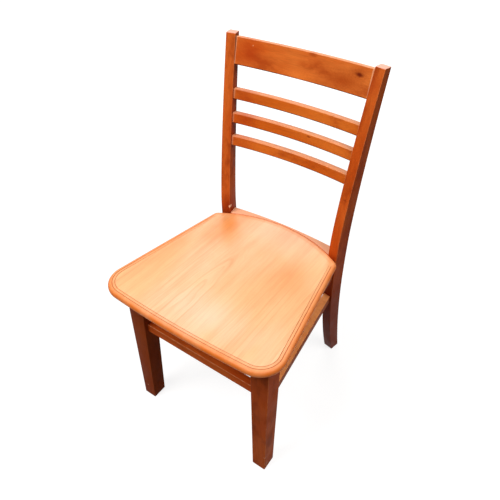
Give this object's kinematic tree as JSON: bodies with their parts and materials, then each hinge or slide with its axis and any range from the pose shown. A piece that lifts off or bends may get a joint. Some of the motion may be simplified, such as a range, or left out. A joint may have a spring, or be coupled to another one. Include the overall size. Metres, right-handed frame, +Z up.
{
  "type": "dining chair",
  "caption": "Wooden dining chair with a ladder back, a panel seat with a rounded nose, tapered front legs, swept rear legs and a box of stretchers.",
  "frame": {"origin": "on the floor, under the middle of the chair's bounding box", "axes": "+Z up, -Y towards the front of the chair, +X to the right of a person who faces the chair"},
  "size_m": [0.468, 0.5374, 0.904],
  "materials": {
    "post_wood": "orange-brown stain under satin lacquer",
    "crest_wood": "orange-brown stain under satin lacquer, one small knot",
    "leg_wood": "reddish-brown stain under satin lacquer",
    "rail_wood": "reddish-brown stain under satin lacquer",
    "seat_wood": "pale honey lacquer, fine straight and cathedral grain",
    "block_wood": "unfinished pale softwood",
    "screw_steel": "zinc-plated"
  },
  "bodies": {
    "root": {"rear_leg_left": "post_wood", "rear_leg_right": "post_wood", "front_leg_left": "leg_wood", "front_leg_right": "leg_wood", "seat_panel": "seat_wood", "crest_rail": "crest_wood", "slat_upper": "post_wood", "slat_middle": "post_wood", "slat_lower": "post_wood", "front_apron": "rail_wood", "side_apron_left": "rail_wood", "side_apron_right": "rail_wood", "rear_rail": "rail_wood", "front_stretcher": "rail_wood", "side_stretcher_left": "rail_wood", "side_stretcher_right": "rail_wood", "rear_stretcher": "rail_wood", "corner_block_front_left": "block_wood", "corner_block_front_right": "block_wood", "corner_block_rear_left": "block_wood", "corner_block_rear_right": "block_wood", "seat_screws": "screw_steel", "corner_block_screws": "screw_steel"}
  },
  "joints": []
}
